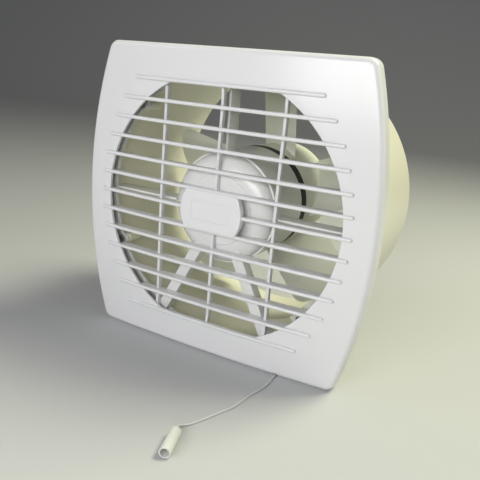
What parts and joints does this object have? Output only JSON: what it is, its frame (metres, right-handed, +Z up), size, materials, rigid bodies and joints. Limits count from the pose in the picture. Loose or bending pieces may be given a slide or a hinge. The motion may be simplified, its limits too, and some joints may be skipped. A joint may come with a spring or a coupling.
{
  "type": "window exhaust fan",
  "caption": "Axial exhaust fan in a round duct housing with a domed slatted front cover and a pull-cord switch.",
  "frame": {"origin": "on the surface the fan stands on, under the middle of its width and of its depth from the name plate to the duct's rear rim", "axes": "+X to the viewer's right across the cover, -Y out of the front, +Z up; the fan axis is along Y"},
  "size_m": [0.219, 0.2309, 0.2064],
  "materials": {
    "gloss_white_abs": "glossy injection-moulded ABS, cool white",
    "cream_abs": "smooth injection-moulded ABS, ivory",
    "bracket_white_abs": "glossy injection-moulded ABS, white",
    "impeller_polypropylene": "semi-matt moulded polypropylene, slightly translucent",
    "black_abs": "satin moulded ABS, black",
    "zinc_plated_steel": "zinc-plated steel",
    "laminated_steel": "stacked steel laminations",
    "cast_zinc": "die-cast zinc, as cast",
    "bronze": "sintered bronze",
    "nylon": "natural nylon, satin",
    "winding_tape": "polyester tape over enamelled copper wire",
    "polyester_cord": "twisted polyester cord",
    "handle_plastic": "moulded polyethylene, semi-matt"
  },
  "bodies": {
    "housing": {"front_cover": "gloss_white_abs", "duct_housing": "cream_abs", "motor_bracket": "bracket_white_abs", "leg_cover_left": "bracket_white_abs", "leg_cover_right": "bracket_white_abs", "bracket_screw_1": "zinc_plated_steel", "bracket_screw_2": "zinc_plated_steel", "bracket_screw_3": "zinc_plated_steel", "bracket_screw_4": "zinc_plated_steel", "motor_end_cap": "black_abs", "stator_core": "laminated_steel", "coil_bobbin": "nylon", "motor_coil": "winding_tape", "front_bearing_bar": "cast_zinc", "rear_bearing_bar": "cast_zinc", "front_bush": "bronze", "rear_bush": "bronze", "motor_screw_1": "zinc_plated_steel", "motor_screw_2": "zinc_plated_steel", "terminal_block": "nylon", "terminal_screw_1": "zinc_plated_steel", "terminal_screw_2": "zinc_plated_steel", "terminal_screw_3": "zinc_plated_steel", "switch_case": "nylon", "switch_lid": "nylon", "return_spring": "zinc_plated_steel"},
    "impeller": {"impeller": "impeller_polypropylene", "motor_shaft": "zinc_plated_steel", "rotor": "laminated_steel", "hub_washer": "zinc_plated_steel", "hub_nut": "zinc_plated_steel"},
    "pull_cord": {"pull_cord": "polyester_cord", "cord_handle": "handle_plastic"},
    "plunger": {"switch_plunger": "nylon", "upper_cord": "polyester_cord"},
    "cam": {"switch_cam": "black_abs"}
  },
  "joints": [
    {"name": "impeller_spin", "type": "hinge", "parent": "housing", "child": "impeller", "pos_m": [0, 0, 0.1032], "axis": [0, 1, 0], "continuous": true},
    {"name": "cord_pull", "type": "slide", "parent": "housing", "child": "pull_cord", "axis": [0, -1, 0], "range_m": [0, 0.005], "stiffness_N_per_m": 400, "springref_m": -0.001},
    {"name": "plunger_travel", "type": "slide", "parent": "housing", "child": "plunger", "axis": [0, 0, -1], "range_m": [0, 0.005], "deforming": ["return_spring", "upper_cord"]},
    {"name": "cam_turn", "type": "hinge", "parent": "housing", "child": "cam", "pos_m": [0.0603, -0.05013, 0.01674], "axis": [0, 1, 0], "range_deg": [0, 45]}
  ],
  "couplings": [
    {"joint": "plunger_travel", "follows": "cord_pull", "ratio": 1},
    {"joint": "cam_turn", "follows": "cord_pull", "rad_per_m": 157.08}
  ]
}
